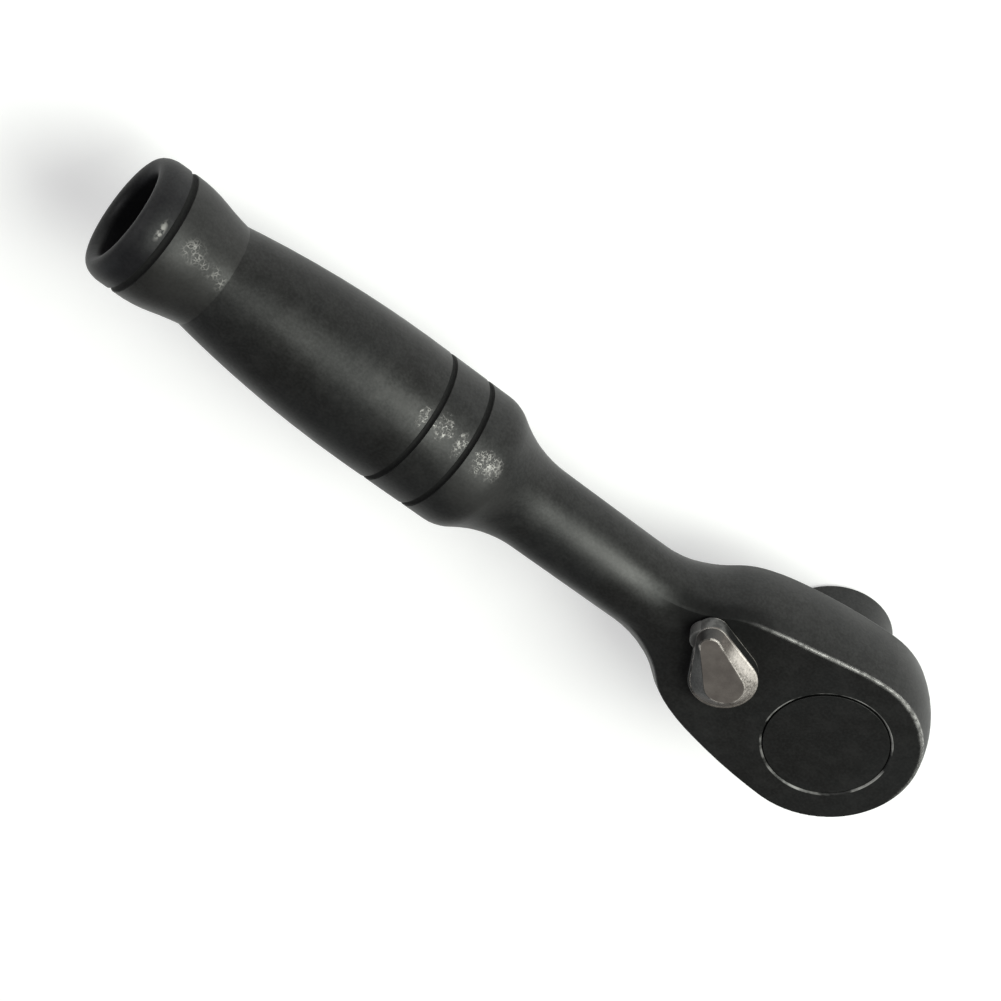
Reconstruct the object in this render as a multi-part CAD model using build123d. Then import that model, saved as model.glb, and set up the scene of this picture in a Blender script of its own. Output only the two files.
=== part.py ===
from build123d import *
from math import asin, atan2, cos, degrees, hypot, radians, sin, sqrt
import os

# Short reversible ratchet wrench: one forging with a pear-shaped head, a round neck and a barrel
# grip with an open end. A turned gear runs through the head. Its upper end is the flush disc in
# the face, its lower end is a round boss with a hexagon socket. A lever on the face turns a shaft
# whose sprung plunger rocks a double-ended pawl into the gear's teeth.
#
# Millimetres. +X runs from the drive axis along the handle, +Z out of the face with the lever.
# Shapes are drawn with the handle's axis at z = 0 and lifted by AXIS_HEIGHT when they are written,
# so the finished origin is on the drive axis, in the mouth of the hexagon socket.

AXIS_HEIGHT = 21.1

# Head: a barrel-sided pear
HEAD_RADIUS = 15.95         # at half height, about the drive axis
FACE_RADIUS = 14.85         # at the edge of the flat face
EDGE_ROUND = 0.25           # length of the worn rounding on each side of the face's edge
SIDE_LEAN = radians(18.4)   # of the bulged side at the face's edge
FACE_LEAN_IN = 0.95         # how much further in the face's -Y edge runs beside the lever
FACE_LEAN_START = 1.0
FACE_LEAN_END = 15.0
BACK_EDGE_RADIUS = 15.28    # where the bulged side meets the rounded back edge
BACK_EDGE_Z = -6.07
BACK_FLAT_RADIUS = 14.5     # where the rounded back edge meets the flat back
HALF_THICKNESS = 6.6
FLANK_START = radians(1.6)  # where the nose circle hands over to the flatter flank
FLANK_RADIUS = 92.0
SHOULDER_RADIUS = 6.2
FLARE_RADIUS = 19.4         # concave sweep from the shoulder into the neck
BLEND_START = 18.6          # where the flat faces begin to turn into the round neck
FACE_LEVEL_END = 33.0       # the lever's face stays level this far, so the lever's tip clears it

# Neck and grip, as lengths from the drive axis and radii
NECK_START = 38.44
NECK_RADIUS = 6.8
NECK_END = 58.9
NECK_END_RADIUS = 6.95
GRIP_FLARE_RADIUS = 19.6
GRIP_FLARE_ANGLE = 32.5
GRIP_SHOULDER_RADIUS = 6.8
GRIP_STRAIGHT_END = 88.7
GRIP_RADIUS = 11.33
WAIST_X = 121.2
WAIST_RADIUS = 8.7
RING_RADIUS = 10.45
LIP_START = 134.6
END_X = 137.65
CREST_RADIUS = 8.77
BORE_RADIUS = 7.1
BORE_DEPTH_X = 90.0
BORE_CONE = 4.1
RISE_ANGLE = radians(9.5)   # slope just past the waist
RISE_RADIUS = 51.0
RISE_TURN = 5.5             # degrees
CROWN_RADIUS = 20.8
GROOVE_DEPTH = 0.55
COLLAR_GROOVES = ((77.27, 0.5), (84.48, 0.5))      # x, half-width
END_GROOVES = ((132.6, 0.6),)

# Levels inside the head
CEILING = 4.0               # inner side of the face wall
LEDGE = -5.0                # where the cover plate's recess begins
PLATE_TOP = -5.15
PLATE_BOTTOM = -6.55
GEAR_TOP = 3.4
GEAR_BOTTOM = -4.5

# Gear, disc and boss
TEETH = 60
TIP_RADIUS = 12.3
ROOT_RADIUS = 11.65
CAVITY_RADIUS = 12.7
DISC_BORE_RADIUS = 10.0
DISC_RADIUS = 9.93
DISC_CHAMFER = 0.22
BOSS_RADIUS = 9.65
HEX_ACROSS_FLATS = 13.1     # takes a 13 mm hexagon
HEX_DEPTH = 13.0
HEX_RELIEF_RADIUS = 6.0
HEX_RELIEF_DEPTH = 3.0
BOSS_CHAMFER = 0.6
MOUTH_OVERSIZE = 1.3        # how far the socket's mouth opens past the flats
MOUTH_DEPTH = 2.0
DISC_SEAL_FLOOR = 9.1       # groove for the disc's O-ring
DISC_SEAL_LEVELS = (4.7, 5.7)
DISC_SEAL = (9.54, 0.42, 5.2)       # centre radius, section radius, height
WASHER_RADIUS = 12.2
RUNNING_GAP = 0.05
FIT_GAP = 0.02              # round pieces that don't turn
TOOTH_GAP = 0.08            # between pawl and gear teeth
CUT = 1.0                   # how far cutting shapes run past what they cut

# Pawl and its pin
PAWL_HALF_OUTLINE = (
    (12.9, 0), (12.4, 3.3), (11.25, 3.2), (10.0, 6.05), (11.9, 7.15), (14.4, 5.9),
    (18.2, 4.0), (18.6, 2.6), (18.6, 0),
)
PIN_FOOT = 0.8              # how deep the pawl's pin and the shaft stand in the cover plate
PIN_HEAD = 1.2              # how deep the pawl's pin stands in the face wall
PAWL_PIVOT_X = 15.1
PAWL_SWING = 6.0            # degrees each side of the middle
PAWL_TOP = 3.35
PAWL_BOTTOM = -4.45
PAWL_PIN_RADIUS = 1.0

# Reversing lever, its shaft and plunger
LEVER_X = 21.1
LEVER_SWING = 37.0          # degrees each side of the handle's axis
BARREL_RADIUS = 2.7
BARREL_TOP = 3.5
BARREL_BOTTOM = -4.9
JOURNAL_RADIUS = 2.2
PLUNGER_RADIUS = 0.9
PLUNGER_REACH = 4.0         # from the shaft's axis to the plunger's round tip
PLUNGER_TAIL = 0.4
PLUNGER_HOLE_END = -1.9
PLUNGER_Z = -0.4
PLUNGER_SPRING = (0.62, 0.14, 0.55)     # coil radius, wire radius, pitch
PLUNGER_TRAVEL = 0.6
SPRING_SEAT = 0.2           # space left at each end of the plunger's spring
TENON = 2.9
TENON_FIT = 0.04
FOOT_RADIUS = 1.3           # of the shaft's lower end in the cover plate
SHAFT_SEAL_FLOOR = 1.72
SHAFT_SEAL_LEVELS = (4.9, 5.7)
SHAFT_SEAL = (1.98, 0.25, 5.3)
SHAFT_WASHER = (2.65, 2.28)             # outer and inner radius
LEVER_BOTTOM = 6.7
LEVER_RIM = 9.1
LEVER_TOP = 11.3
LEVER_BASE_RADIUS = 5.35
LEVER_NOSE = (8.2, 0.0, 2.5)    # x, y and radius of the rounded nose
LEVER_LOBE = (8.2, 1.3, 2.15)   # the nose's fuller side
PAD_INSET = 0.1                 # from the rim to the foot of the raised pad
PAD_HEEL = (0.6, -0.45, 3.1)    # the flat top of the pad: its wide end
PAD_TIP = (8.6, 0.1, 1.65)      # and its narrow end
RIM_ROUND = 0.3
PAD_ROUND = 0.2
PIN_HEIGHT = 7.8                # height of the cross pin through lever and shaft
PIN_RADIUS = 0.5
PIN_START = -5.0
PIN_LENGTH = 6.8

# Detent
BALL_RADIUS = 0.8
BALL_ORBIT = 3.7
BALL_Z = 7.25
BALL_WELL_DEPTH = 2.6
BALL_TRAVEL = 0.3
DETENT_SPRING = (0.5, 0.12, 0.4)
DETENT_WIRE_GAP = 0.14

# Cover plate
PLATE_RADIUS = 13.8
PLATE_TAIL_X = 18.0
PLATE_TAIL_RADIUS = 10.5
PLATE_GAP = 0.05
BOSS_SEAL = (10.12, 0.36, -5.85)
BOSS_SEAL_WALL = 10.52      # groove for the boss's O-ring
BOSS_SEAL_LEVELS = (-6.25, -5.45)
SCREW_RADIUS = 1.0
SCREW_LENGTH = 4.0          # below the ledge
SCREW_HEAD = (1.8, 0.75)    # radius and height of the countersunk head
RECESS = (2.0, 0.4, 0.5)    # length, width and depth of each stroke of the cross
RECESS_TURN = 20            # degrees
SCREW_GAP = 0.1
GASKET_MARGIN = 0.15
SCREW_PLACES = ((15.4, 8.7), (15.4, -8.7), (24.3, 4.9), (24.3, -4.9))

ON_BASE = (Align.CENTER, Align.CENTER, Align.MIN)


# ---------------------------------------------------------------- small helpers

def cylinder(radius, bottom, top, x=0.0, y=0.0):
    """An upright cylinder between two heights."""
    base = Plane.XY.offset(bottom) * Pos(x, y) * Circle(radius)
    return extrude(base, top - bottom, dir=(0, 0, 1))


def ring(outer, inner, bottom, top, x=0.0):
    """An upright ring between two heights."""
    return cylinder(outer, bottom, top, x) - cylinder(inner, bottom - CUT, top + CUT, x)


def o_ring(centre_radius, section_radius, z, x=0.0):
    """A round-section ring that lies flat at height z."""
    return Pos(x, 0, z) * Torus(centre_radius, section_radius)


def prism(outline, bottom, top):
    """A flat outline drawn in XY, made solid between two heights."""
    return extrude(Plane.XY.offset(bottom) * outline, top - bottom, dir=(0, 0, 1))


def turned(profile):
    """A body turned about the X axis from a closed profile in the XY plane."""
    return revolve(make_face(profile), Axis.X)


def about(axis_x, degrees_turned, shape):
    """The shape turned about an upright axis that stands at x = axis_x."""
    return Pos(axis_x, 0, 0) * Rot(0, 0, degrees_turned) * Pos(-axis_x, 0, 0) * shape


def two_circle_hull(x1, r1, x2, r2):
    """Outline of two circles on the X axis joined by their common tangents."""
    lean = asin((r1 - r2) / (x2 - x1))
    spread = 90 - degrees(lean)
    large = CenterArc((x1, 0), r1, start_angle=spread, arc_size=360 - 2 * spread)
    small = CenterArc((x2, 0), r2, start_angle=-spread, arc_size=2 * spread)
    lower = Line(large @ 1, small @ 0)
    upper = Line(small @ 1, large @ 0)
    return make_face([large, lower, small, upper])


def coil(radius, wire_radius, pitch, height):
    """A helical spring that stands on z = 0."""
    path = Helix(pitch, height, radius)
    section = Plane(origin=path @ 0, z_dir=path % 0) * Circle(wire_radius)
    return sweep(section, path=path, is_frenet=True)


# ---------------------------------------------------------------- handle body

def mix(a, b, share):
    return a + (b - a) * share


def ease(x, start, end):
    """A smooth rise from 0 at start to 1 at end."""
    share = min(max((x - start) / (end - start), 0.0), 1.0)
    return share * share * (3 - 2 * share)


def flank_centre():
    """Centre of the large flank arc, which is tangent to the nose circle at FLANK_START."""
    offset = FLANK_RADIUS - HEAD_RADIUS
    return -offset * sin(FLANK_START), -offset * cos(FLANK_START)


def shoulder_centre():
    """Centre of the shoulder arc, tangent inside the flank arc and outside the flare arc."""
    flank_x, flank_y = flank_centre()
    from_flank = FLANK_RADIUS - SHOULDER_RADIUS
    from_flare = FLARE_RADIUS + SHOULDER_RADIUS
    dx = NECK_START - flank_x
    dy = NECK_RADIUS + FLARE_RADIUS - flank_y
    gap = sqrt(dx * dx + dy * dy)
    along = (from_flank ** 2 - from_flare ** 2 + gap ** 2) / (2 * gap)
    across = sqrt(from_flank ** 2 - along ** 2)
    return flank_x + (along * dx - across * dy) / gap, flank_y + (along * dy + across * dx) / gap


def half_width(x):
    """Half-width of the head at half height: nose circle, flank, shoulder, flare, neck."""
    cx, cy = shoulder_centre()
    flank_x, flank_y = flank_centre()
    flank_end = flank_x + (cx - flank_x) * FLANK_RADIUS / (FLANK_RADIUS - SHOULDER_RADIUS)
    flare_start = mix(cx, NECK_START, SHOULDER_RADIUS / (SHOULDER_RADIUS + FLARE_RADIUS))
    if x <= HEAD_RADIUS * sin(FLANK_START):
        return sqrt(HEAD_RADIUS ** 2 - x * x)
    if x <= flank_end:
        return flank_y + sqrt(FLANK_RADIUS ** 2 - (x - flank_x) ** 2)
    if x <= flare_start:
        return cy + sqrt(SHOULDER_RADIUS ** 2 - (x - cx) ** 2)
    return NECK_RADIUS + FLARE_RADIUS - sqrt(FLARE_RADIUS ** 2 - (NECK_START - x) ** 2)


def face_edge():
    """The rounded edge between face and side as three points: end of flat, knuckle, top of side."""
    flat = (FACE_RADIUS - EDGE_ROUND, HALF_THICKNESS)
    side = (FACE_RADIUS + EDGE_ROUND * sin(SIDE_LEAN), HALF_THICKNESS - EDGE_ROUND * cos(SIDE_LEAN))
    towards_chord = 0.55
    knuckle_y = mix(FACE_RADIUS, (flat[0] + side[0]) / 2, towards_chord)
    knuckle_z = mix(HALF_THICKNESS, (flat[1] + side[1]) / 2, towards_chord)
    return [flat, (knuckle_y, knuckle_z), side]


def back_edge():
    """The fuller rounded edge between side and back, from the side to the flat."""
    knuckle = (BACK_EDGE_RADIUS - 0.22, mix(BACK_EDGE_Z, -HALF_THICKNESS, 0.72))
    return [(BACK_EDGE_RADIUS, BACK_EDGE_Z), knuckle, (BACK_FLAT_RADIUS, -HALF_THICKNESS)]


def half_section(x, side, lean_in=0.0):
    """Points of one half of a head section as (y, z), turning from bulged at the nose to round."""
    round_share = ease(x, BLEND_START, NECK_START)
    leaning_edge = [(radius - lean_in, height) for radius, height in face_edge()]
    bulged = leaning_edge + [(HEAD_RADIUS, 0)] + back_edge()
    # where the same seven points end up on the round neck, as angles from the top
    angles = (33, 35, 37, 90, 138, 143, 148)
    points = []
    for (radius, height), angle in zip(bulged, angles):
        round_y = NECK_RADIUS * sin(radians(angle)) - NECK_RADIUS
        round_z = NECK_RADIUS * cos(radians(angle))
        y = side + mix(radius - HEAD_RADIUS, round_y, round_share)
        points.append((y, mix(height, round_z, round_share)))
    return points


def head_section(x):
    """One closed outline across the head at x: flat faces on bulged sides, round at the neck."""
    lean_in = FACE_LEAN_IN * ease(x, FACE_LEAN_START, FACE_LEAN_END)
    right = [(x, y, z) for y, z in half_section(x, half_width(x))]
    left = [(x, -y, z) for y, z in reversed(half_section(x, half_width(x), lean_in))]
    flat, flat_back = right[0], right[6]
    top = mix(HALF_THICKNESS, NECK_RADIUS, ease(x, FACE_LEVEL_END, NECK_START))
    bottom = -mix(HALF_THICKNESS, NECK_RADIUS, ease(x, BLEND_START, NECK_START))
    if x > BLEND_START:
        under = Edge.make_three_point_arc(flat_back, (x, 0, bottom), left[0])
        over = Edge.make_three_point_arc(left[6], (x, 0, top), flat)
    else:
        under = Edge.make_line(flat_back, left[0])
        over = Edge.make_line(left[6], flat)
    edges = [Edge.make_three_point_arc(*right[i:i + 3]) for i in (0, 2, 4)]
    edges.append(under)
    edges += [Edge.make_three_point_arc(*left[i:i + 3]) for i in (0, 2, 4)]
    edges.append(over)
    return Wire(edges)


def head_blank():
    """The solid pear, from the nose to the start of the round neck."""
    spots = [(0, y, z) for y, z in half_section(0, HEAD_RADIUS)]
    outline = [ThreePointArc(*spots[i:i + 3]) for i in (0, 2, 4)]
    axis = Polyline(spots[6], (0, 0, -HALF_THICKNESS), (0, 0, HALF_THICKNESS), spots[0])
    half_barrel = revolve(make_face(outline + [axis]), Axis.Z, 180)
    stations = (0, 2, 4.5, 8, 12, 15.5, 18.6, 21, 23.5, 26, 28.5, 31, 33, 35, 37, NECK_START)
    pear = Solid.make_loft([head_section(x) for x in stations])
    return half_barrel + pear


def grooved_line(start, end, grooves):
    """A straight run of the turned profile, with round-bottomed grooves (x, half-width) in it."""
    slope = (end[1] - start[1]) / (end[0] - start[0])
    pieces = []
    here = start
    for x, half in grooves:
        entry = (x - half, start[1] + slope * (x - half - start[0]))
        bottom = (x, start[1] + slope * (x - start[0]) - GROOVE_DEPTH)
        leave = (x + half, start[1] + slope * (x + half - start[0]))
        pieces += [Line(here, entry), ThreePointArc(entry, bottom, leave)]
        here = leave
    return pieces + [Line(here, end)]


def grip_profile():
    """Half outline of the neck, grip, flared end and bore, to be turned about X."""
    neck = Line((NECK_START, NECK_RADIUS), (NECK_END, NECK_END_RADIUS))
    flare = JernArc(neck @ 1, neck % 1, GRIP_FLARE_RADIUS, GRIP_FLARE_ANGLE)
    shoulder = JernArc(flare @ 1, flare % 1, GRIP_SHOULDER_RADIUS, -GRIP_FLARE_ANGLE)
    collar = grooved_line(
        tuple(shoulder @ 1)[:2], (GRIP_STRAIGHT_END, GRIP_RADIUS), COLLAR_GROOVES)
    barrel = TangentArc((GRIP_STRAIGHT_END, GRIP_RADIUS), (WAIST_X, WAIST_RADIUS), tangent=(1, 0))
    rise = JernArc(
        (WAIST_X, WAIST_RADIUS), (cos(RISE_ANGLE), sin(RISE_ANGLE)), RISE_RADIUS, RISE_TURN)
    crown = JernArc(rise @ 1, rise % 1, CROWN_RADIUS, -RISE_TURN - degrees(RISE_ANGLE))
    end_ring = grooved_line(tuple(crown @ 1)[:2], (LIP_START, RING_RADIUS), END_GROOVES)
    outer_lip = EllipticalCenterArc(
        (LIP_START, CREST_RADIUS), END_X - LIP_START, RING_RADIUS - CREST_RADIUS,
        start_angle=0, arc_size=90)
    lip_radius = CREST_RADIUS - BORE_RADIUS
    inner_lip = CenterArc(
        (END_X - lip_radius, CREST_RADIUS), lip_radius, start_angle=270, arc_size=90)
    inside = Polyline(
        (END_X - lip_radius, BORE_RADIUS),
        (BORE_DEPTH_X, BORE_RADIUS),
        (BORE_DEPTH_X - BORE_CONE, 0),
        (NECK_START, 0),
        (NECK_START, NECK_RADIUS),
    )
    curves = [neck, flare, shoulder, barrel, rise, crown, outer_lip, inner_lip, inside]
    return curves + collar + end_ring


def pocket(bottom, top, clearance=0.0):
    """The hollow for gear, pawl and shaft barrel, between two heights."""
    wedge = Polygon(
        (9, 8.3 + clearance), (12.9, 7.9 + clearance), (18.3, 4.9 + clearance), (LEVER_X, 3.2),
        (LEVER_X, -3.2), (18.3, -4.9 - clearance), (12.9, -7.9 - clearance), (9, -8.3 - clearance),
        align=None)
    hollow = cylinder(CAVITY_RADIUS + clearance, bottom, top)
    hollow = hollow + prism(wedge, bottom, top)
    return hollow + cylinder(BARREL_RADIUS + 0.5 + clearance, bottom, top, LEVER_X)


def plate_outline(clearance=0.0):
    """Plan of the cover plate, a smaller pear inside the head's."""
    return two_circle_hull(0, PLATE_RADIUS + clearance, PLATE_TAIL_X, PLATE_TAIL_RADIUS + clearance)


def detent_track():
    """Shallow arc in the face that the detent ball runs in, with a deeper seat at each end."""
    section = Plane.XZ * Pos(BALL_ORBIT, BALL_Z + 0.03) * Circle(BALL_RADIUS + 0.05)
    track = revolve(section, Axis.Z, 2 * LEVER_SWING)
    track = Pos(LEVER_X, 0, 0) * Rot(0, 0, -LEVER_SWING) * track
    for side in (1, -1):
        angle = radians(side * LEVER_SWING)
        seat = Sphere(BALL_RADIUS + 0.07)
        x = LEVER_X + BALL_ORBIT * cos(angle)
        track = track + Pos(x, BALL_ORBIT * sin(angle), BALL_Z) * seat
    return track


def make_handle_body():
    body = head_blank() + turned(grip_profile())
    body = body - pocket(LEDGE - CUT, CEILING)
    body = body - prism(plate_outline(PLATE_GAP), -HALF_THICKNESS - CUT, LEDGE)
    body = body - cylinder(DISC_BORE_RADIUS, CEILING - CUT, HALF_THICKNESS + CUT)
    chamfer_cone = Cone(DISC_BORE_RADIUS, DISC_BORE_RADIUS + 2 * DISC_CHAMFER, 2 * DISC_CHAMFER)
    body = body - Pos(0, 0, HALF_THICKNESS) * chamfer_cone
    journal = cylinder(JOURNAL_RADIUS + RUNNING_GAP, CEILING - CUT, HALF_THICKNESS + CUT, LEVER_X)
    body = body - journal
    body = body - cylinder(PAWL_PIN_RADIUS + 0.01, CEILING - CUT, CEILING + PIN_HEAD + 0.1,
                           PAWL_PIVOT_X)
    for x, y in SCREW_PLACES:
        hole = cylinder(SCREW_RADIUS + FIT_GAP, LEDGE - CUT, LEDGE + SCREW_LENGTH + 0.3, x, y)
        body = body - hole
    return body - detent_track()


# ---------------------------------------------------------------- gear train

def toothed(tip, root, bottom, top):
    """A prism with V-shaped teeth; one tooth points along +X."""
    points = []
    for i in range(2 * TEETH):
        radius = tip if i % 2 == 0 else root
        angle = radians(180 * i / TEETH)
        points.append((radius * cos(angle), radius * sin(angle)))
    return prism(Polygon(*points, align=None), bottom, top)


def make_drive_gear():
    gear = toothed(TIP_RADIUS, ROOT_RADIUS, GEAR_BOTTOM, GEAR_TOP)
    disc = cylinder(DISC_RADIUS, GEAR_TOP, HALF_THICKNESS)
    disc = chamfer(disc.edges().group_by(Axis.Z)[-1], DISC_CHAMFER)
    boss = cylinder(BOSS_RADIUS, -AXIS_HEIGHT, GEAR_BOTTOM)
    boss = chamfer(boss.edges().group_by(Axis.Z)[0], BOSS_CHAMFER)
    gear = gear + disc + boss
    gear = gear - ring(DISC_RADIUS + CUT, DISC_SEAL_FLOOR, *DISC_SEAL_LEVELS)
    hexagon = RegularPolygon(HEX_ACROSS_FLATS / 2, 6, major_radius=False)
    gear = gear - prism(hexagon, -AXIS_HEIGHT, HEX_DEPTH - AXIS_HEIGHT)
    gear = gear - cylinder(HEX_RELIEF_RADIUS, HEX_DEPTH - AXIS_HEIGHT - CUT,
                           HEX_DEPTH + HEX_RELIEF_DEPTH - AXIS_HEIGHT)
    mouth_radius = HEX_ACROSS_FLATS / 2 + MOUTH_OVERSIZE
    mouth = Cone(mouth_radius, mouth_radius - MOUTH_DEPTH, MOUTH_DEPTH, align=ON_BASE)
    return gear - Pos(0, 0, -AXIS_HEIGHT) * mouth


def make_disc_o_ring():
    return o_ring(*DISC_SEAL)


def make_upper_thrust_washer():
    return ring(WASHER_RADIUS, DISC_RADIUS + 2 * RUNNING_GAP, GEAR_TOP + RUNNING_GAP,
                CEILING - RUNNING_GAP)


def make_lower_thrust_washer():
    return ring(WASHER_RADIUS, BOSS_RADIUS + 2 * RUNNING_GAP, PLATE_TOP + RUNNING_GAP,
                GEAR_BOTTOM - RUNNING_GAP)


# ---------------------------------------------------------------- pawl

def notch_arc():
    """Radius and centre of the notch in the pawl's back, from two places of the plunger's tip."""
    reach = PLUNGER_REACH - PLUNGER_RADIUS
    gap = LEVER_X - PAWL_PIVOT_X
    turned_x = gap - reach * cos(radians(LEVER_SWING))
    turned_y = reach * sin(radians(LEVER_SWING))
    swing = radians(PAWL_SWING)
    end_x = turned_x * cos(swing) + turned_y * sin(swing)
    end_y = turned_y * cos(swing) - turned_x * sin(swing)
    rise = end_x - (gap - reach)
    tip_path = (end_y ** 2 + rise ** 2) / (2 * rise)
    centre = PAWL_PIVOT_X + gap - reach + tip_path
    return tip_path + PLUNGER_RADIUS + RUNNING_GAP, centre


def make_pawl():
    """Double-ended pawl, in the pose with its +Y end in the teeth."""
    mirrored = [(x, -y) for x, y in reversed(PAWL_HALF_OUTLINE[1:-1])]
    outline = list(PAWL_HALF_OUTLINE) + mirrored
    blank = prism(Polygon(*outline, align=None), PAWL_BOTTOM, PAWL_TOP)
    notch_radius, notch_x = notch_arc()
    below, above = PAWL_BOTTOM - CUT, PAWL_TOP + CUT
    blank = blank - cylinder(notch_radius, below, above, notch_x)
    blank = blank - cylinder(PAWL_PIN_RADIUS + RUNNING_GAP, below, above, PAWL_PIVOT_X)
    cutter = toothed(TIP_RADIUS + TOOTH_GAP, ROOT_RADIUS + TOOTH_GAP, below, above)
    for swing in (PAWL_SWING, -PAWL_SWING):
        blank = blank - about(PAWL_PIVOT_X, swing, cutter)
    return about(PAWL_PIVOT_X, PAWL_SWING, blank)


def make_pawl_pin():
    return cylinder(PAWL_PIN_RADIUS, PLATE_TOP - PIN_FOOT, CEILING + PIN_HEAD, PAWL_PIVOT_X)


# ---------------------------------------------------------------- lever and shaft
# These are drawn with the lever pointing along +X from its own axis, and turned to rest after.

def on_shaft(shape):
    """Moves a shape from the lever's own frame to its place, with the lever swung to -Y."""
    return Pos(LEVER_X, 0, 0) * Rot(0, 0, -LEVER_SWING) * shape


def pear(wide, narrow):
    """Outline of a wide and a narrow circle, each x, y and radius, joined by common tangents."""
    dx, dy = narrow[0] - wide[0], narrow[1] - wide[1]
    turn = degrees(atan2(dy, dx))
    hull = two_circle_hull(0, wide[2], hypot(dx, dy), narrow[2])
    return Pos(wide[0], wide[1]) * Rot(0, 0, turn) * hull


def lever_outline():
    """Outline of the lever's foot: round base, tapering nose with a fuller side."""
    lobe_x, lobe_y, lobe_radius = LEVER_LOBE
    return pear((0, 0, LEVER_BASE_RADIUS), LEVER_NOSE) + Pos(lobe_x, lobe_y) * Circle(lobe_radius)


def cross_hole():
    """The hole for the pin that ties the lever to its shaft."""
    hole = Cylinder(PIN_RADIUS + FIT_GAP, PIN_LENGTH + 1.2, align=ON_BASE)
    return Pos(PIN_START - CUT, 0, PIN_HEIGHT) * Rot(0, 90, 0) * hole


def make_reverse_lever():
    foot = extrude(Plane.XY.offset(LEVER_BOTTOM) * lever_outline(), LEVER_RIM - LEVER_BOTTOM)
    foot = fillet(foot.edges().group_by(Axis.Z)[-1], RIM_ROUND)
    base = pear((0, 0, LEVER_BASE_RADIUS - PAD_INSET), LEVER_NOSE[:2] + (LEVER_NOSE[2] - PAD_INSET,))
    pad_base = Plane.XY.offset(LEVER_RIM - RIM_ROUND) * base
    pad_top = Plane.XY.offset(LEVER_TOP) * pear(PAD_HEEL, PAD_TIP)
    pad = loft([pad_base, pad_top], ruled=True)
    pad = fillet(pad.edges().group_by(Axis.Z)[-1], PAD_ROUND)
    lever = foot + pad
    mortise = TENON + TENON_FIT
    lever = lever - prism(Rectangle(mortise, mortise), LEVER_BOTTOM - CUT, LEVER_RIM)
    ball_well = cylinder(BALL_RADIUS + 0.04, LEVER_BOTTOM - CUT, LEVER_BOTTOM + BALL_WELL_DEPTH,
                         BALL_ORBIT)
    return on_shaft(lever - cross_hole() - ball_well)


def make_selector_shaft():
    shaft = cylinder(BARREL_RADIUS, BARREL_BOTTOM, BARREL_TOP)
    shaft = shaft + cylinder(JOURNAL_RADIUS, BARREL_TOP, HALF_THICKNESS)
    shaft = shaft + cylinder(FOOT_RADIUS, PLATE_TOP - PIN_FOOT, BARREL_BOTTOM)
    shaft = shaft + prism(Rectangle(TENON, TENON), HALF_THICKNESS, LEVER_RIM - 0.1)
    shaft = shaft - ring(JOURNAL_RADIUS + CUT, SHAFT_SEAL_FLOOR, *SHAFT_SEAL_LEVELS)
    hole = Rot(0, -90, 0) * Cylinder(PLUNGER_RADIUS + 0.03, 2 * BARREL_RADIUS, align=ON_BASE)
    shaft = shaft - Pos(-PLUNGER_HOLE_END, 0, PLUNGER_Z) * hole
    return on_shaft(shaft - cross_hole())


def make_lever_pin():
    pin = Cylinder(PIN_RADIUS, PIN_LENGTH, align=ON_BASE)
    return on_shaft(Pos(PIN_START, 0, PIN_HEIGHT) * Rot(0, 90, 0) * pin)


def make_shaft_o_ring():
    return o_ring(*SHAFT_SEAL, LEVER_X)


def make_shaft_thrust_washer():
    return ring(*SHAFT_WASHER, BARREL_TOP + RUNNING_GAP, CEILING - RUNNING_GAP, LEVER_X)


def make_selector_plunger():
    """Round-tipped plunger, pointing away from the lever's tip."""
    length = PLUNGER_REACH - PLUNGER_RADIUS - PLUNGER_TAIL
    rod = Cylinder(PLUNGER_RADIUS, length, align=ON_BASE)
    plunger = rod + Pos(0, 0, length) * Sphere(PLUNGER_RADIUS)
    return on_shaft(Pos(-PLUNGER_TAIL, 0, PLUNGER_Z) * Rot(0, -90, 0) * plunger)


def make_plunger_spring():
    """Spring at its working length, clear of the plunger pushed fully in."""
    length = PLUNGER_TAIL - PLUNGER_HOLE_END - PLUNGER_TRAVEL - 2 * SPRING_SEAT
    spring = coil(*PLUNGER_SPRING, length)
    return on_shaft(Pos(-PLUNGER_HOLE_END - SPRING_SEAT, 0, PLUNGER_Z) * Rot(0, -90, 0) * spring)


def make_detent_ball():
    return on_shaft(Pos(BALL_ORBIT, 0, BALL_Z) * Sphere(BALL_RADIUS))


def make_detent_spring():
    """Spring at its working length, clear of the ball at the top of its travel."""
    bottom = BALL_Z + BALL_RADIUS + BALL_TRAVEL + DETENT_WIRE_GAP
    top = LEVER_BOTTOM + BALL_WELL_DEPTH - DETENT_WIRE_GAP
    return on_shaft(Pos(BALL_ORBIT, 0, bottom) * coil(*DETENT_SPRING, top - bottom))


# ---------------------------------------------------------------- cover

def make_cover_plate():
    plate = prism(plate_outline(), PLATE_BOTTOM, PLATE_TOP)
    below, above = PLATE_BOTTOM - CUT, PLATE_TOP + CUT
    plate = plate - cylinder(BOSS_RADIUS + 0.08, below, above)
    plate = plate - ring(BOSS_SEAL_WALL, BOSS_RADIUS - CUT, *BOSS_SEAL_LEVELS)
    foot_level = PLATE_TOP - PIN_FOOT - 0.1
    plate = plate - cylinder(PAWL_PIN_RADIUS + 0.01, foot_level, above, PAWL_PIVOT_X)
    plate = plate - cylinder(FOOT_RADIUS + 0.03, foot_level, above, LEVER_X)
    head_radius, head_height = SCREW_HEAD
    for x, y in SCREW_PLACES:
        plate = plate - cylinder(SCREW_RADIUS + SCREW_GAP, below, above, x, y)
        sink = Cone(head_radius + 0.05, SCREW_RADIUS + SCREW_GAP, head_height, align=ON_BASE)
        plate = plate - Pos(x, y, PLATE_BOTTOM) * sink
    return plate


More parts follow.
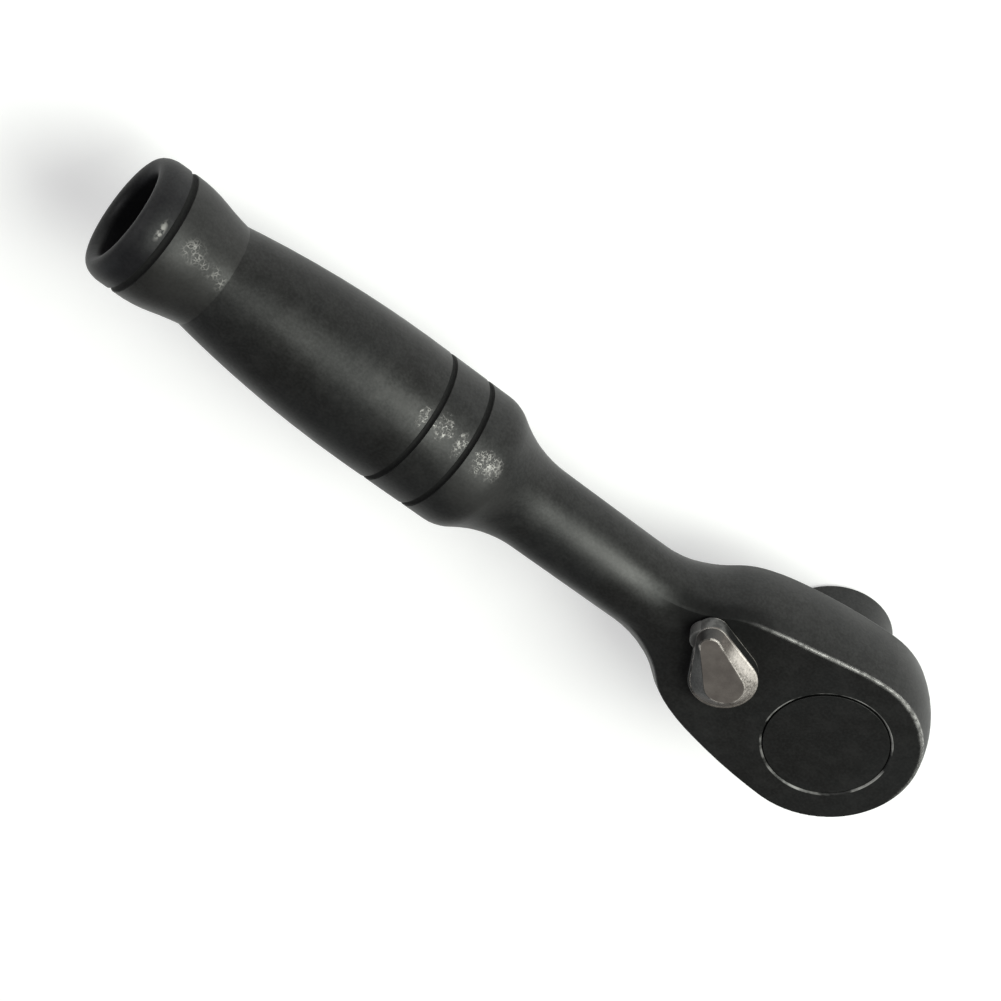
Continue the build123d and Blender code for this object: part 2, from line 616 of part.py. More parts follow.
def make_cover_gasket():
    sheet = prism(plate_outline(), PLATE_TOP + FIT_GAP, LEDGE - FIT_GAP)
    sheet = sheet - pocket(LEDGE - CUT, LEDGE + CUT, GASKET_MARGIN)
    for x, y in SCREW_PLACES:
        sheet = sheet - cylinder(SCREW_RADIUS + SCREW_GAP, LEDGE - CUT, LEDGE + CUT, x, y)
    return sheet


def make_cover_screws():
    """Countersunk screws with a cross recess, grouped as separate solids."""
    head_radius, head_height = SCREW_HEAD
    length, width, depth = RECESS
    screws = []
    for x, y in SCREW_PLACES:
        head = Cone(head_radius, SCREW_RADIUS, head_height, align=ON_BASE)
        screw = Pos(0, 0, PLATE_BOTTOM + FIT_GAP) * head
        shank_start = PLATE_BOTTOM + head_height - 0.05
        screw = screw + cylinder(SCREW_RADIUS, shank_start, LEDGE + SCREW_LENGTH)
        for turn in (0, 90):
            slot = prism(Rectangle(length, width), PLATE_BOTTOM - CUT, PLATE_BOTTOM + depth)
            screw = screw - Rot(0, 0, turn + RECESS_TURN) * slot
        screws.append(Pos(x, y, 0) * screw)
    return Compound(children=[s.solid() for s in screws])


def make_boss_seal():
    return o_ring(*BOSS_SEAL)


# ---------------------------------------------------------------- writing

PIECES = {
    "handle_body": make_handle_body,
    "drive_gear": make_drive_gear,
    "disc_o_ring": make_disc_o_ring,
    "upper_thrust_washer": make_upper_thrust_washer,
    "lower_thrust_washer": make_lower_thrust_washer,
    "pawl": make_pawl,
    "pawl_pin": make_pawl_pin,
    "reverse_lever": make_reverse_lever,
    "selector_shaft": make_selector_shaft,
    "lever_pin": make_lever_pin,
    "shaft_o_ring": make_shaft_o_ring,
    "shaft_thrust_washer": make_shaft_thrust_washer,
    "selector_plunger": make_selector_plunger,
    "plunger_spring": make_plunger_spring,
    "detent_ball": make_detent_ball,
    "detent_spring": make_detent_spring,
    "cover_plate": make_cover_plate,
    "cover_gasket": make_cover_gasket,
    "cover_screws": make_cover_screws,
    "boss_seal": make_boss_seal,
}

os.makedirs("parts", exist_ok=True)
for name, make in PIECES.items():
    piece = Pos(0, 0, AXIS_HEIGHT) * make()
    export_step(piece, f"parts/{name}.step")
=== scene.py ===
from math import cos, radians, sin

import bpy
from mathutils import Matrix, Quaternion, Vector


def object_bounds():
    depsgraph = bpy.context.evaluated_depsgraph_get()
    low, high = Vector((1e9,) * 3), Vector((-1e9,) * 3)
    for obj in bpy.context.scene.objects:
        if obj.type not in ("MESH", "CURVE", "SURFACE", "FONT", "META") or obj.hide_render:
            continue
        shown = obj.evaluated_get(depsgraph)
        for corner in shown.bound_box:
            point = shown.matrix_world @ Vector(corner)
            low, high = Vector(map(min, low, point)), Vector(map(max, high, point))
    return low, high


# A short reversible ratchet wrench in black-oxide steel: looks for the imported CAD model.
# The CAD frame has +X along the handle and +Z out of the lever's face. Lengths below are in mm,
# unless a comment says otherwise; Blender's own lengths are metres.

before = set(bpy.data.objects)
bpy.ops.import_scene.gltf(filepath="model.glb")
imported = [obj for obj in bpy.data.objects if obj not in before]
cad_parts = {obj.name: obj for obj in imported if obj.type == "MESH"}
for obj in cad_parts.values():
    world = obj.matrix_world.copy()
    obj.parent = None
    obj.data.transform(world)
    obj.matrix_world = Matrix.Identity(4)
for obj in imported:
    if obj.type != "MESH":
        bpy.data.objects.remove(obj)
CAD_LOW, CAD_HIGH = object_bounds()

MM = 0.001

# ---------------------------------------------------------------- the object's own places

AXIS = 21.1                     # height of the handle's axis
FACE = AXIS + 6.6               # height of the head's face
LEVER_X = 21.1                  # the lever's pivot
LEVER_TURN = radians(-37.0)     # the lever's rest direction from +X
PAD_TOP = 32.4                  # height of the lever's thumb pad
FOOT_TOP = 30.2                 # height of the rim round the pad
BORE_EDGE = 10.15               # radius of the rubbed edge round the disc
DISC_EDGE = 9.72                # radius where the disc's rim turns down into the gap
GROOVES = ((77.27, 0.42), (84.48, 0.42), (132.6, 0.5))      # x and half width


def on_grip(x, roll, radius):
    """A point of the handle's surface: roll in degrees from +Z towards +Y."""
    return (x, radius * sin(radians(roll)), AXIS + radius * cos(radians(roll)))


def on_lever(u, v, z):
    """A point of the lever: u from its pivot towards its tip, v to the left, height z."""
    x = LEVER_X + u * cos(LEVER_TURN) - v * sin(LEVER_TURN)
    return (x, u * sin(LEVER_TURN) + v * cos(LEVER_TURN), z)


# ---------------------------------------------------------------- where the wear, the painted sheen and the painted glint are
# Soft spots: middle, size along x, y and z, strength.

GRIP_PATCHES = (
    (on_grip(72.2, -37, 11.0), (2.2, 2.9, 2.9), 1.0),
    (on_grip(74.4, -36.5, 11.2), (3.0, 3.4, 3.4), 0.72),
    (on_grip(78.8, -38, 11.3), (1.5, 3.8, 3.4), 0.72),
    (on_grip(82.4, -41, 11.3), (3.0, 3.4, 3.4), 0.58),
    (on_grip(85.9, -39, 11.3), (1.6, 3.2, 3.0), 0.6),
)
FLARE_VEINS = (
    (on_grip(128.2, -39, 10.1), (2.6, 2.4, 2.4), 1.0),
    (on_grip(124.6, -35, 9.4), (3.2, 1.5, 1.5), 0.9),
    (on_grip(121.9, -30, 8.8), (1.0, 1.6, 1.6), 0.8),
)
# A painted glint (painted highlight) on the end ring.
RING_GLINT = ((on_grip(134.1, -37.5, 10.5), (0.75, 2.3, 2.3), 1.0),)
NECK_RUB = ((on_grip(48, -34, 5.6), (19, 3.4, 3.4), 1.0),)
# Rubbed smears on the barrel, with painted sheen.
BARREL_RUB_AND_SHEEN = ((on_grip(92, -43, 11.2), (11, 5, 5), 1.0),)
# Painted sheen on the collar and on the flared end.
SHOULDER_SHEEN = (
    (on_grip(71, -16, 10.8), (9, 7, 6), 0.5),
    (on_grip(127, -14, 10.0), (7, 6, 6), 0.4),
)
LEVER_NICKS = (
    (on_lever(9.7, -0.9, 32.2), (1.3, 1.3, 1.0), 1.0),
    (on_lever(8.5, -1.5, 32.2), (1.2, 1.2, 1.0), 1.0),
    (on_lever(8.8, 1.6, 32.2), (0.9, 0.9, 0.9), 0.8),
    (on_lever(-1.75, 1.7, 32.2), (1.2, 1.2, 1.0), 0.9),
    (on_lever(-2.4, 0.6, 32.2), (0.8, 0.8, 0.8), 0.7),
)

# ---------------------------------------------------------------- tones, in linear values

OXIDE = 0.0085                  # black oxide
OXIDE_SHINE = 0.3               # its specular level
FORGED_GLOSS = 0.46             # roughness of the forging
TURNED_GLOSS = 0.44             # roughness of the turned drive
RUB_AND_SHEEN_TONE = 0.075
FLARE_TONE = 0.021
RING_TONE = (0.006, 0.0058, 0.0072, 1.0)
BARE_STEEL_AND_GLINT = 0.16
EDGE_WEAR_AND_HIGHLIGHT_TONE = 0.5
HOLLOW_SHADE_TONE = 0.0035
GROOVE_DARK_TONE = 0.003
BOSS_RIM = 0.3
GAP_SHADE_TONE = 0.0015
PAD_STEEL = ((0.084, 0.072, 0.067, 1), (0.106, 0.092, 0.085, 1))
SLOPE_STEEL = ((0.052, 0.045, 0.041, 1), (0.104, 0.088, 0.08, 1))
SHADED_SLOPE = 0.007
TIP_SLOPE_SHADE = 0.02
SCUFF_AND_HIGHLIGHT_STEEL = (0.62, 0.57, 0.54, 1)
LEVER_EDGE_WEAR_AND_HIGHLIGHT = (0.72, 0.67, 0.63, 1)
LEVER_WALL_SHADE = 0.009
NOSE_WALL_LIGHT = 0.085

# ---------------------------------------------------------------- the studio

AIM = Vector((64.0, 2.7, 21.1)) * MM    # what the camera and the lights point at
VIEW_AZIMUTH = radians(33.56)
VIEW_ELEVATION = radians(52.02)
VIEW_ROLL = radians(171.94)
VIEW_DISTANCE = 0.7036                  # metres
LENS = 168.2
SENSOR = 36.0
CLIP = (0.01, 20.0)                     # metres
LIGHTS = (      # name, direction it shines from, distance and size in metres, power, tint
    ("key", (-0.36, -0.58, 0.73), 1.1, 0.75, 17.0, (0.96, 1.0, 0.93)),
    ("side", (0.75, -0.25, 0.45), 1.4, 0.9, 6.0, (1.0, 1.0, 1.0)),
    ("back", (0.35, 0.85, 0.35), 1.6, 0.9, 2.6, (0.92, 0.96, 1.0)),
)
WORLD_LIGHT = 0.13
WORLD_SEEN = 0.95
FLOOR_HALF = 3.0                        # metres
FLOOR_PAPER = (0.6, 0.64)
FLOOR_GLOW = (0.9, 0.94)
FLOOR_GLOW_STRENGTH = 0.5


# ---------------------------------------------------------------- node materials

def grey(value, warm=0.0):
    """A linear grey, warmed towards brown or cooled by a small amount."""
    return (value * (1 + warm), value, value * (1 - warm), 1.0)


def in_metres(lengths):
    return tuple(length * MM for length in lengths)


class Graph:
    """One node material. Values given to add() are numbers, or outputs of other nodes."""

    def __init__(self, name):
        self.material = bpy.data.materials.new(name)
        self.material.use_nodes = True
        self.tree = self.material.node_tree
        self.shader = self.tree.nodes["Principled BSDF"]
        self.place = self.add("ShaderNodeTexCoord").outputs["Object"]

    def put(self, socket, value):
        if isinstance(value, bpy.types.NodeSocket):
            self.tree.links.new(value, socket)
        else:
            socket.default_value = value

    def add(self, kind, inputs=None, **settings):
        node = self.tree.nodes.new(kind)
        for key, value in settings.items():
            setattr(node, key, value)
        for key, value in (inputs or {}).items():
            self.put(node.inputs[key], value)
        return node

    def math(self, operation, a, b):
        return self.add("ShaderNodeMath", {0: a, 1: b}, operation=operation).outputs[0]

    def vector(self, operation, a, b=(0.0, 0.0, 0.0), output=0):
        return self.add("ShaderNodeVectorMath", {0: a, 1: b}, operation=operation).outputs[output]

    def times(self, *values):
        result = values[0]
        for value in values[1:]:
            result = self.math("MULTIPLY", result, value)
        return result

    def most(self, *values):
        result = values[0]
        for value in values[1:]:
            result = self.math("MAXIMUM", result, value)
        return result

    def plus(self, a, b):
        return self.math("ADD", a, b)

    def other(self, value):
        """One minus the value."""
        return self.math("SUBTRACT", 1.0, value)

    def rise(self, value, start, end, low=0.0, high=1.0):
        """Smooth step from low to high while value goes from start to end."""
        return self.add("ShaderNodeMapRange", {
            "Value": value, "From Min": start, "From Max": end, "To Min": low, "To Max": high,
        }, interpolation_type="SMOOTHSTEP").outputs["Result"]

    def fade(self, length, start, end, low=0.0, high=1.0):
        """The same along a length."""
        return self.rise(length, start * MM, end * MM, low, high)

    def band(self, length, middle, half, soft):
        """1 within half of middle, falling to 0 over soft."""
        away = self.add("ShaderNodeMath", {0: self.math("SUBTRACT", length, middle * MM)},
                        operation="ABSOLUTE").outputs[0]
        return self.fade(away, half, half + soft, 1.0, 0.0)

    def noise(self, scale, detail=4.0, rough=0.55):
        return self.add("ShaderNodeTexNoise", {
            "Vector": self.place, "Scale": scale, "Detail": detail, "Roughness": rough,
        }).outputs["Fac"]

    def grain(self, scale, where=None, feature="F1"):
        return self.add("ShaderNodeTexVoronoi", {
            "Vector": where or self.place, "Scale": scale}, feature=feature).outputs["Distance"]

    def net(self, scale, thick):
        """A broken net of fine lines round small dark cells: 1 on the lines."""
        wobble = self.add("ShaderNodeTexNoise", {
            "Vector": self.place, "Scale": scale * 0.8, "Detail": 2.0}).outputs["Color"]
        shift = self.vector("SUBTRACT", wobble, (0.5, 0.5, 0.5))
        moved = self.vector("ADD", self.vector("MULTIPLY", shift, (1.1 / scale,) * 3), self.place)
        return self.rise(self.grain(scale, moved, "DISTANCE_TO_EDGE"), 0.0, thick, 1.0, 0.0)

    def spots(self, places):
        """The strongest of several soft spots, each falling to 0 at the surface of an ellipsoid."""
        found = []
        for middle, size, strength in places:
            offset = self.vector("SUBTRACT", self.place, in_metres(middle))
            away = self.vector("LENGTH", self.vector("DIVIDE", offset, in_metres(size)),
                               output="Value")
            found.append(self.times(self.rise(away, 0.25, 1.0, 1.0, 0.0), strength))
        return self.most(*found)

    def distance(self, vector, point):
        return self.vector("DISTANCE", vector, in_metres(point), "Value")

    def dot(self, a, b):
        return self.vector("DOT_PRODUCT", a, b, "Value")

    def parts(self, vector=None):
        return self.add("ShaderNodeSeparateXYZ", {0: vector or self.place}).outputs

    def colour(self, fac, a, b):
        return self.add("ShaderNodeMix", {0: fac, 6: a, 7: b}, data_type="RGBA").outputs[2]

    def edges(self, radius):
        """How far the surface turns within the radius: 0 on open faces, up to 1 on edges."""
        rounded = self.add("ShaderNodeBevel", {"Radius": radius * MM}, samples=6).outputs[0]
        normal = self.add("ShaderNodeNewGeometry").outputs["True Normal"]
        return self.other(self.dot(rounded, normal))

    def bump(self, height, strength, distance):
        normal = self.add("ShaderNodeBump", {
            "Height": height, "Strength": strength, "Distance": distance * MM}).outputs[0]
        self.put(self.shader.inputs["Normal"], normal)

    def finish(self, **values):
        for key, value in values.items():
            self.put(self.shader.inputs[key.replace("_", " ")], value)
        return self.material


def black_oxide(name, roughness):
    """Forged or turned steel, blackened: mottled in colour and in how it shines, finely grained."""
    g = Graph(name)
    clouds = g.noise(60.0, detail=3.0)
    spots = g.noise(420.0, detail=4.0, rough=0.65)
    fine = g.noise(2200.0, detail=2.0)
    tint = g.colour(g.rise(clouds, 0.35, 0.65), grey(OXIDE * 0.9, 0.03), grey(OXIDE * 1.1, -0.02))
    tint = g.colour(g.rise(spots, 0.45, 0.75, 0.0, 0.35), tint, grey(OXIDE * 1.8, 0.03))
    g.oxide = g.colour(g.rise(fine, 0.35, 0.7, 0.0, 0.4), tint, grey(OXIDE * 1.9))
    g.gloss = g.rise(g.plus(clouds, g.times(spots, 0.5)), 0.5, 1.0,
                     roughness - 0.06, roughness + 0.08)
    mottle = g.plus(g.times(spots, 0.6), g.times(fine, 0.4))
    g.shine = g.rise(mottle, 0.3, 0.7, OXIDE_SHINE * 0.78, OXIDE_SHINE * 1.22)
    g.skin = g.plus(g.times(fine, 0.5), g.times(spots, 0.8))
    return g


# ---------------------------------------------------------------- the handle

def face_edge_wear_and_highlight(g, x, y, z, off_drive):
    """Bright line along the face's edge, on the side that the thumb reaches: rubbed steel, and a
    painted highlight along the edge.
    """
    return g.times(
        g.fade(z, FACE - 1.0, FACE - 0.4),
        g.rise(g.edges(0.7), 0.003, 0.03),
        g.fade(x, 26, 17),
        g.fade(y, 3, -5),
        g.fade(off_drive, 11.0, 12.5),
        g.rise(g.noise(1100.0), 0.3, 0.62, 0.3, 1.0),
    )


def bore_edge_wear_and_highlight(g, off_drive):
    """Faint broken line round the disc, on the edge of its bore: rubbed steel, and a painted highlight
    along the edge.
    """
    broken = g.rise(g.noise(260.0, detail=3.0), 0.38, 0.66)
    return g.times(g.band(off_drive, BORE_EDGE, 0.12, 0.08), broken, 0.5)


def rubbed_patches(g):
    """Patches rubbed through to bare steel: broken nets of bright lines round dark cells."""
    rubbed = g.spots(GRIP_PATCHES)
    ragged = g.plus(rubbed, g.times(g.noise(800.0, rough=0.7), 1.5))
    lines = g.plus(g.net(2100.0, 0.24), g.rise(rubbed, 0.75, 1.0, 0.0, 0.4))
    broken = g.rise(g.noise(1700.0, detail=3.0), 0.4, 0.62, 0.15, 1.0)
    return g.times(g.rise(ragged, 1.0, 1.35), g.rise(lines, 0.1, 1.0, 0.04, 1.0), broken)


def bare_steel_and_glint(g):
    """The patches, cracked-looking veins on the flared end, and a painted glint (a painted highlight)
    on the end ring.
    """
    cracks = g.rise(g.noise(500.0, detail=3.0), 0.36, 0.54)
    veins = g.times(g.spots(FLARE_VEINS), g.net(1500.0, 0.17), cracks)
    glint = g.times(g.spots(RING_GLINT), g.rise(g.noise(1500.0, detail=3.0), 0.38, 0.55))
    return g.most(g.times(rubbed_patches(g), 0.9), g.times(veins, 0.85), g.times(glint, 0.8))


def neck_rub(g, x):
    """Dull silvery rub along the neck, pitted."""
    pits = g.rise(g.grain(2200.0), 0.05, 0.22)
    return g.times(g.fade(x, 36, 43), g.fade(x, 62, 52), g.spots(NECK_RUB),
                   g.rise(pits, 0.0, 1.0, 0.5, 1.0))


def barrel_rub_and_sheen(g):
    """Thin smears beside the patches: rubbed steel, and painted sheen on the barrel."""
    return g.times(g.spots(BARREL_RUB_AND_SHEEN), g.rise(g.noise(330.0, rough=0.65), 0.42, 0.62), 0.4)


def unlit_places(g, x, y, z):
    """Painted shade: the hollow behind the lever and the inside of the bore's mouth, deeper black."""
    across = g.vector("MULTIPLY", g.place, (0.0, 1.0, 1.0))
    from_axis = g.distance(across, (0.0, 0.0, AXIS))
    mouth = g.times(g.fade(x, 100, 104), g.fade(from_axis, 8.9, 7.9))
    hollow = g.times(g.fade(x, 14, 30), g.fade(x, 42, 33), g.fade(y, -1, -4), g.fade(z, 24, 26.5))
    return g.most(g.times(hollow, 0.8), g.times(mouth, 0.35))


def handle_material():
    g = black_oxide("black_oxide_forging", FORGED_GLOSS)
    x, y, z = g.parts()
    off_drive = g.distance(g.place, (0.0, 0.0, FACE))
    face_edge = face_edge_wear_and_highlight(g, x, y, z, off_drive)
    bare = bare_steel_and_glint(g)
    neck = neck_rub(g, x)
    dull = g.most(g.times(neck, 0.6), barrel_rub_and_sheen(g), g.spots(SHOULDER_SHEEN))
    unlit = unlit_places(g, x, y, z)
    # Darker within the grooves.
    groove_dark = g.most(*[g.band(x, at, half, 0.12) for at, half in GROOVES])
    flared_end = g.times(g.fade(x, 121.1, 121.4), g.fade(x, 133.4, 132.6))
    end_ring = g.fade(x, 132.6, 133.4)
    barrel = g.times(g.fade(x, 82, 92), g.fade(x, 123, 117))
    head_half = g.fade(x, 66, 54)

    # Rubbed neck; painted sheen on the barrel and on the shoulders.
    colour = g.colour(g.times(dull, 0.55), g.oxide, grey(RUB_AND_SHEEN_TONE, 0.02))
    colour = g.colour(g.times(flared_end, 0.4), colour, grey(FLARE_TONE, 0.03))
    colour = g.colour(g.times(end_ring, 0.8), colour, RING_TONE)
    # Bare steel in the patches and veins; a painted glint on the end ring.
    colour = g.colour(bare, colour, grey(BARE_STEEL_AND_GLINT, 0.03))
    # Rubbed edges, with a painted highlight along them.
    lines = g.most(g.times(face_edge, 0.95), bore_edge_wear_and_highlight(g, off_drive))
    colour = g.colour(lines, colour, grey(EDGE_WEAR_AND_HIGHLIGHT_TONE, 0.02))
    # Painted shade in the hollow and in the bore's mouth.
    colour = g.colour(unlit, colour, grey(HOLLOW_SHADE_TONE))
    colour = g.colour(groove_dark, colour, grey(GROOVE_DARK_TONE))
    gloss = g.math("SUBTRACT", g.gloss, g.times(neck, 0.08))
    shine = g.times(g.shine, g.rise(unlit, 0.0, 1.0, 1.0, 0.4),
                    g.rise(end_ring, 0.0, 1.0, 1.0, 0.85), g.rise(barrel, 0.0, 1.0, 1.0, 0.8),
                    g.rise(head_half, 0.0, 1.0, 1.0, 0.92))
    g.bump(g.plus(g.skin, g.times(bare, -0.8)), 0.35, 0.03)
    return g.finish(Base_Color=colour, Roughness=g.plus(gloss, g.times(groove_dark, 0.35)),
                    Metallic=g.most(bare, g.times(face_edge, 0.6), g.times(dull, 0.35)),
                    Specular_IOR_Level=shine)


# ---------------------------------------------------------------- the drive

def drive_material():
    """Turned black steel, rubbed at the mouth of the boss, with painted shade in the gap round the
    disc.
    """
    g = black_oxide("black_oxide_drive", TURNED_GLOSS)
    z = g.parts()[2]
    boss_rim = g.times(g.fade(z, 1.2, 0.5), g.rise(g.edges(0.25), 0.03, 0.12), 0.5)
    across = g.vector("MULTIPLY", g.place, (1.0, 1.0, 0.0))
    out = g.vector("LENGTH", across, output="Value")
    # Painted shade in the gap round the disc.
    gap = g.times(g.fade(z, FACE - 0.8, FACE - 0.6), g.fade(out, DISC_EDGE, DISC_EDGE + 0.08))
    colour = g.colour(boss_rim, g.oxide, grey(BOSS_RIM, 0.02))
    colour = g.colour(gap, colour, grey(GAP_SHADE_TONE))
    g.bump(g.skin, 0.25, 0.03)
    return g.finish(Base_Color=colour, Roughness=g.plus(g.gloss, g.times(gap, 0.4)),
                    Metallic=boss_rim,
                    Specular_IOR_Level=g.times(g.shine, g.rise(gap, 0.0, 1.0, 0.85, 0.05)))


# ---------------------------------------------------------------- the lever

def lever_scuff_and_highlight(g, u, v, slope, right, speck):
    """Right slope: scuffed, and painted bright as a highlight; bright along its outer strip, mottled
    above it, duller towards both ends.
    """
    out = g.math("SUBTRACT", g.times(u, 0.35), g.times(v, 0.937))
    along = g.times(g.fade(u, 7.6, 4.6), g.fade(u, -4.4, -1.6, 0.15, 1.0))
    strip = g.times(g.fade(out, 4.0, 4.7), g.fade(u, -1.8, 0.2))
    mottle = g.rise(g.plus(speck, g.times(strip, 0.13)), 0.4, 0.68)
    fill = g.rise(strip, 0.0, 1.0, 0.15, 0.42)
    return g.times(slope, right, along, g.plus(fill, g.times(mottle, 0.58)))


def lever_bright_lines(g, z, right, wall, speck, broken):
    """Rubbed edges with painted highlights on them: rim of the foot, edge of the pad's top, a few
    nicks, and the foot's lower edge.
    """
    edge = g.edges(0.35)
    rim = g.times(g.rise(edge, 0.03, 0.12), broken, g.band(z, FOOT_TOP - 0.15, 0.12, 0.1))
    brow = g.times(g.rise(edge, 0.01, 0.06), g.fade(z, PAD_TOP - 0.5, PAD_TOP - 0.3),
                   g.most(g.times(right, 0.9), 0.15), broken)
    nicks = g.times(g.rise(g.plus(g.spots(LEVER_NICKS), g.times(speck, 1.1)), 0.85, 1.15),
                    g.rise(edge, 0.004, 0.03), g.fade(z, PAD_TOP - 0.6, PAD_TOP - 0.4))
    foot_line = g.times(g.fade(z, FACE + 0.32, FACE + 0.22), right, wall, broken)
    return g.most(g.times(rim, 0.8), brow, nicks, g.times(foot_line, 0.5))


def lever_material():
    """Worn steel: dull brown-grey top, a scuffed slope on one side painted bright as a highlight,
    painted shade on the other slope and at the tip, dark walls partly in painted shade, and nose walls
    painted lighter.
    """
    g = Graph("worn_lever_steel")
    z = g.parts()[2]
    local = g.vector("SUBTRACT", g.place, in_metres((LEVER_X, 0.0, 0.0)))
    u = g.dot(local, (cos(LEVER_TURN), sin(LEVER_TURN), 0.0))
    v = g.dot(local, (-sin(LEVER_TURN), cos(LEVER_TURN), 0.0))
    up = g.parts(g.add("ShaderNodeNewGeometry").outputs["Normal"])[2]
    cloud = g.noise(500.0)
    speck = g.noise(2600.0, rough=0.75)
    broken = g.rise(cloud, 0.36, 0.6, 0.15, 1.0)

    wall = g.rise(up, 0.3, 0.1)
    top = g.times(g.rise(up, 0.93, 0.985), g.fade(z, PAD_TOP - 0.8, PAD_TOP - 0.4))
    slope = g.times(g.other(wall), g.other(top))
    right = g.fade(v, -0.6, -1.6)
    left = g.fade(v, 0.2, 1.4)
    heel = g.fade(u, -0.5, -2.6)
    tip = g.times(g.fade(u, 8.6, 9.6), g.fade(z, FOOT_TOP - 0.1, FOOT_TOP + 0.2))
    nose = g.times(g.fade(u, 8.0, 9.6), g.fade(z, FOOT_TOP + 0.1, FOOT_TOP - 0.3))
    lobe = g.times(g.fade(u, 5.9, 6.8), left, g.fade(z, FOOT_TOP + 0.3, FOOT_TOP))
    scuff_and_highlight = lever_scuff_and_highlight(g, u, v, slope, right, speck)
    bright = lever_bright_lines(g, z, right, wall, speck, broken)

    slope_steel = g.colour(g.rise(speck, 0.35, 0.65), *SLOPE_STEEL)
    # Painted shade on the left slope and on the slope at the tip.
    slope_steel = g.colour(g.times(left, g.other(heel)), slope_steel, grey(SHADED_SLOPE))
    slope_steel = g.colour(g.times(tip, 0.8), slope_steel, grey(TIP_SLOPE_SHADE, 0.12))
    colour = g.colour(slope, g.colour(g.rise(cloud, 0.3, 0.7), *PAD_STEEL), slope_steel)
    # Scuffs on the right slope, painted bright as a highlight.
    colour = g.colour(scuff_and_highlight, colour, SCUFF_AND_HIGHLIGHT_STEEL)
    # Dark walls: partly painted shade.
    colour = g.colour(wall, colour, grey(LEVER_WALL_SHADE))
    # Painted light: the nose and lobe walls lighter.
    lit_walls = g.most(g.times(nose, broken), g.times(lobe, 0.9))
    colour = g.colour(lit_walls, colour, grey(NOSE_WALL_LIGHT, 0.02))
    # Rubbed edges with painted highlights.
    colour = g.colour(bright, colour, LEVER_EDGE_WEAR_AND_HIGHLIGHT)
    gloss = g.rise(g.plus(speck, g.times(cloud, 0.5)), 0.4, 1.0, 0.34, 0.55)
    g.bump(g.plus(speck, g.times(cloud, 0.6)), 0.5, 0.05)
    return g.finish(Base_Color=colour, Roughness=gloss,
                    Metallic=g.most(g.times(scuff_and_highlight, 0.5), g.times(bright, 0.5), 0.15))


# ---------------------------------------------------------------- the inner pieces

def steel_material(name, value, warm=0.0, roughness=0.3):
    """Ground steel or bronze of the inner pieces, with fine cloudy grain."""
    g = Graph(name)
    cloud = g.noise(900.0)
    colour = g.colour(g.rise(cloud, 0.3, 0.7), grey(value * 0.75, warm), grey(value * 1.15, warm))
    gloss = g.rise(cloud, 0.3, 0.7, roughness - 0.06, roughness + 0.1)
    g.bump(cloud, 0.2, 0.02)
    return g.finish(Base_Color=colour, Roughness=gloss, Metallic=1.0)


def rubber_material(name, value):
    g = Graph(name)
    cloud = g.noise(1500.0, detail=3.0)
    colour = g.colour(g.rise(cloud, 0.3, 0.7), grey(value * 0.8), grey(value * 1.3))
    g.bump(cloud, 0.3, 0.02)
    return g.finish(Base_Color=colour, Roughness=g.rise(cloud, 0.3, 0.7, 0.6, 0.8))


def dress(items, material):
    """Gives objects one material."""
    for item in items:
        item.data.materials.clear()
        item.data.materials.append(material)


def dress_nodes(names, material):
    dress([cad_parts[name] for name in names], material)


def dress_frame():
    dress_nodes(("handle_body", "cover_plate"), handle_material())
    dress_nodes(("drive_gear",), drive_material())
    dress_nodes(("reverse_lever",), lever_material())
    dress_nodes(("pawl", "pawl_pin", "selector_shaft", "lever_pin", "selector_plunger"),
                steel_material("ground_steel", 0.42))
    dress_nodes(("plunger_spring", "detent_spring", "detent_ball"),
                steel_material("bright_spring_steel", 0.55, roughness=0.22))
    dress_nodes(("upper_thrust_washer", "lower_thrust_washer", "shaft_thrust_washer"),
                steel_material("bronze_washer", 0.35, warm=0.45, roughness=0.35))
    dress_nodes(("cover_screws",), steel_material("blackened_screw", 0.05, roughness=0.35))
    dress_nodes(("disc_o_ring", "shaft_o_ring", "boss_seal"), rubber_material("black_rubber", 0.02))
    dress_nodes(("cover_gasket",), rubber_material("gasket_fibre", 0.09))


# ---------------------------------------------------------------- studio

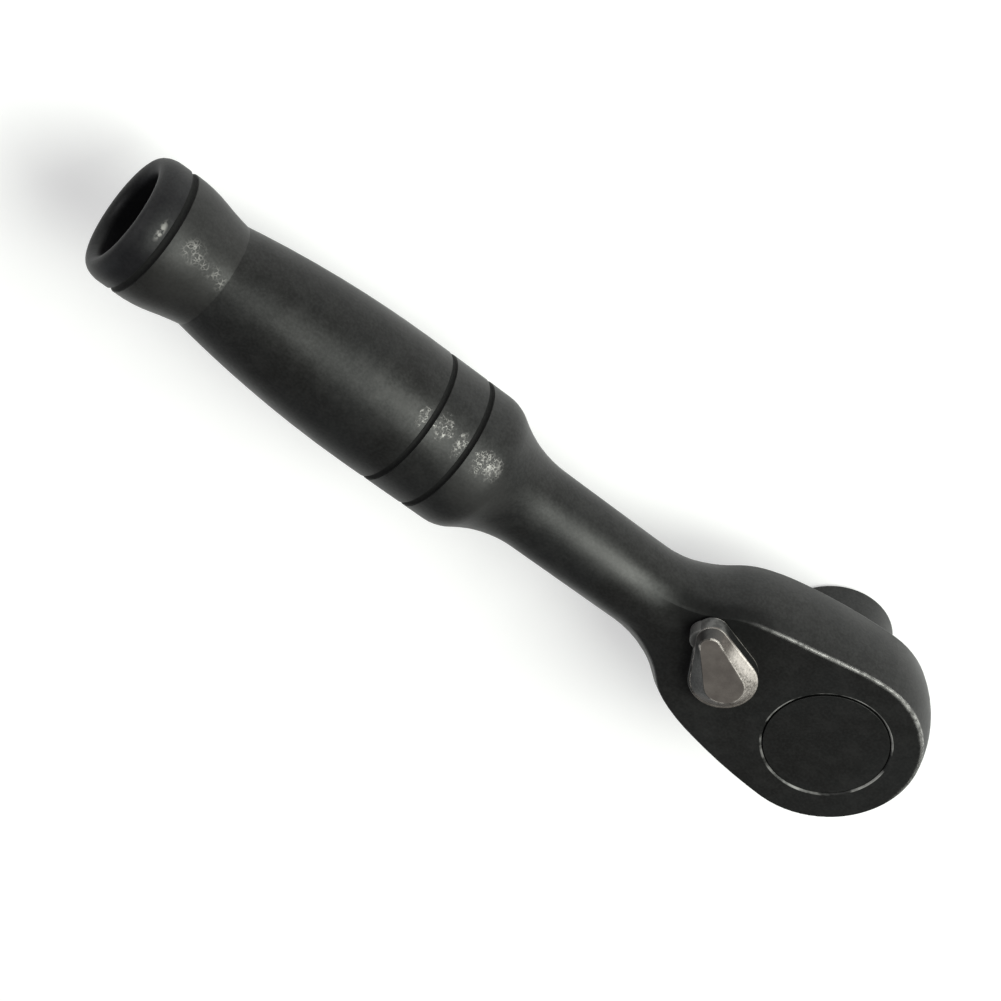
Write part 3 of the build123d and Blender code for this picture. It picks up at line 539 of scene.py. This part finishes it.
def add_floor():
    mesh = bpy.data.meshes.new("floor")
    corners = [(x * FLOOR_HALF, y * FLOOR_HALF, 0) for x, y in ((-1, -1), (1, -1), (1, 1), (-1, 1))]
    mesh.from_pydata(corners, [], [(0, 1, 2, 3)])
    floor = bpy.data.objects.new("floor", mesh)
    floor.location.z = CAD_LOW.z
    bpy.context.scene.collection.objects.link(floor)
    g = Graph("floor_paper")
    paper = g.rise(g.noise(14.0, detail=5.0), 0.3, 0.7)
    colour = g.colour(paper, *[grey(value) for value in FLOOR_PAPER])
    glow = g.colour(paper, *[grey(value) for value in FLOOR_GLOW])
    g.bump(g.noise(900.0), 0.05, 0.05)
    dress([floor], g.finish(Base_Color=colour, Roughness=0.85, Specular_IOR_Level=0.1,
                            Emission_Color=glow, Emission_Strength=FLOOR_GLOW_STRENGTH))


def add_light(name, direction, distance, size, power, tint):
    """A square soft light that shines at the object from a direction."""
    data = bpy.data.lights.new(name, "AREA")
    data.shape = "SQUARE"
    data.size = size
    data.energy = power
    data.color = tint
    light = bpy.data.objects.new(name, data)
    towards = Vector(direction).normalized()
    light.location = AIM + towards * distance
    light.rotation_mode = "QUATERNION"
    light.rotation_quaternion = (-towards).to_track_quat("-Z", "Y")
    bpy.context.scene.collection.objects.link(light)


def add_world():
    """Plain white to the camera, a faint even light to everything else."""
    world = bpy.data.worlds.new("studio")
    bpy.context.scene.world = world
    world.use_nodes = True
    tree = world.node_tree
    shade = tree.nodes["Background"]
    path = tree.nodes.new("ShaderNodeLightPath")
    choose = tree.nodes.new("ShaderNodeMapRange")
    choose.inputs["To Min"].default_value = WORLD_LIGHT
    choose.inputs["To Max"].default_value = WORLD_SEEN
    tree.links.new(path.outputs["Is Camera Ray"], choose.inputs["Value"])
    tree.links.new(choose.outputs["Result"], shade.inputs["Strength"])
    shade.inputs["Color"].default_value = (1.0, 1.0, 1.0, 1.0)


def add_camera():
    data = bpy.data.cameras.new("camera")
    data.lens = LENS
    data.sensor_width = SENSOR
    data.clip_start, data.clip_end = CLIP
    camera = bpy.data.objects.new("camera", data)
    back = Vector((
        sin(VIEW_AZIMUTH) * cos(VIEW_ELEVATION),
        -cos(VIEW_AZIMUTH) * cos(VIEW_ELEVATION),
        sin(VIEW_ELEVATION),
    ))
    camera.location = AIM + back * VIEW_DISTANCE
    camera.rotation_mode = "QUATERNION"
    level = (-back).to_track_quat("-Z", "Y")
    camera.rotation_quaternion = Quaternion(-back, VIEW_ROLL) @ level
    bpy.context.scene.collection.objects.link(camera)
    bpy.context.scene.camera = camera


def add_studio():
    add_camera()
    add_floor()
    add_world()
    for light in LIGHTS:
        add_light(*light)
    bpy.context.scene.view_settings.view_transform = "Standard"


dress_frame()
add_studio()
